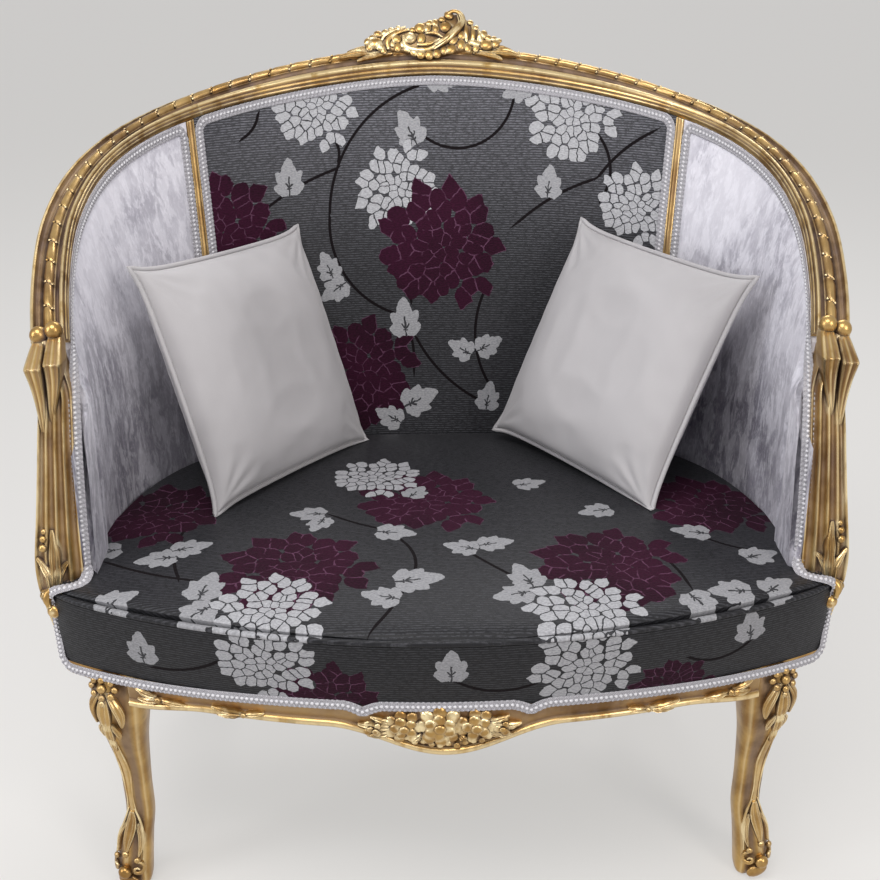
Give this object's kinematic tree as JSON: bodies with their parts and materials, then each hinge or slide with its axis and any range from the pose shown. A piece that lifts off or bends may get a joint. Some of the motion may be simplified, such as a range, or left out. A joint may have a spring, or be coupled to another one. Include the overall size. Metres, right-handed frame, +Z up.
{
  "type": "bergere chair",
  "caption": "Wide tub bergere armchair with a carved gilt frame, padded back and sides, a tight sprung seat and loose cushions.",
  "frame": {"origin": "on the floor under the middle of the chair's box", "axes": "+Z up, +Y towards the chair's back, +X towards the viewer's right when facing the chair"},
  "size_m": [0.9644, 0.7598, 1.0323],
  "materials": {
    "gilt_wood": "antique gold leaf on carved wood, brown and purplish patina in the recesses",
    "bare_wood": "unfinished beech",
    "floral_jacquard": "ribbed satin jacquard with silver and plum flowers",
    "side_velvet": "crushed silver velvet",
    "cushion_velvet": "warm grey velvet",
    "gimp_braid": "silver lilac braid with a line of bright beads",
    "jute": "woven jute",
    "stuffing": "felted wadding",
    "black_cloth": "plain tacked cloth",
    "steel": "drawn and pressed steel"
  },
  "bodies": {
    "chair": {"back_gimp": "gimp_braid", "back_pad": "floral_jacquard", "back_tack_rail": "bare_wood", "crest_carving": "gilt_wood", "crest_rail": "gilt_wood", "dust_cover": "black_cloth", "front_left_corner_block": "bare_wood", "front_left_glide": "steel", "front_left_leg": "gilt_wood", "front_rail_carving": "gilt_wood", "front_right_corner_block": "bare_wood", "front_right_glide": "steel", "front_right_leg": "gilt_wood", "front_seat_rail": "gilt_wood", "left_arm_rail": "gilt_wood", "left_arm_support": "gilt_wood", "left_back_stile": "gilt_wood", "left_gimp": "gimp_braid", "left_outer_cover": "side_velvet", "left_seat_rail": "gilt_wood", "left_side_pad": "side_velvet", "left_tack_rail": "bare_wood", "outer_back_cover": "floral_jacquard", "rear_left_corner_block": "bare_wood", "rear_left_glide": "steel", "rear_left_leg": "gilt_wood", "rear_right_corner_block": "bare_wood", "rear_right_glide": "steel", "rear_right_leg": "gilt_wood", "rear_seat_rail": "gilt_wood", "right_arm_rail": "gilt_wood", "right_arm_support": "gilt_wood", "right_back_stile": "gilt_wood", "right_gimp": "gimp_braid", "right_outer_cover": "side_velvet", "right_seat_rail": "gilt_wood", "right_side_pad": "side_velvet", "right_tack_rail": "bare_wood", "seat_cover": "floral_jacquard", "seat_front_border": "floral_jacquard", "seat_gimp": "gimp_braid", "seat_hessian": "jute", "seat_spring_1": "steel", "seat_spring_2": "steel", "seat_spring_3": "steel", "seat_spring_4": "steel", "seat_spring_5": "steel", "seat_stuffing": "stuffing", "seat_webbing": "jute", "seat_welt": "floral_jacquard"},
    "left_cushion": {"left_scatter_cushion": "cushion_velvet"},
    "right_cushion": {"right_scatter_cushion": "cushion_velvet"}
  },
  "joints": [
    {"name": "left_cushion_lift", "type": "slide", "parent": "chair", "child": "left_cushion", "axis": [0.1504, -0.5013, 0.8521], "range_m": [0, 0.25]},
    {"name": "right_cushion_lift", "type": "slide", "parent": "chair", "child": "right_cushion", "axis": [-0.1504, -0.5013, 0.8521], "range_m": [0, 0.25]}
  ]
}
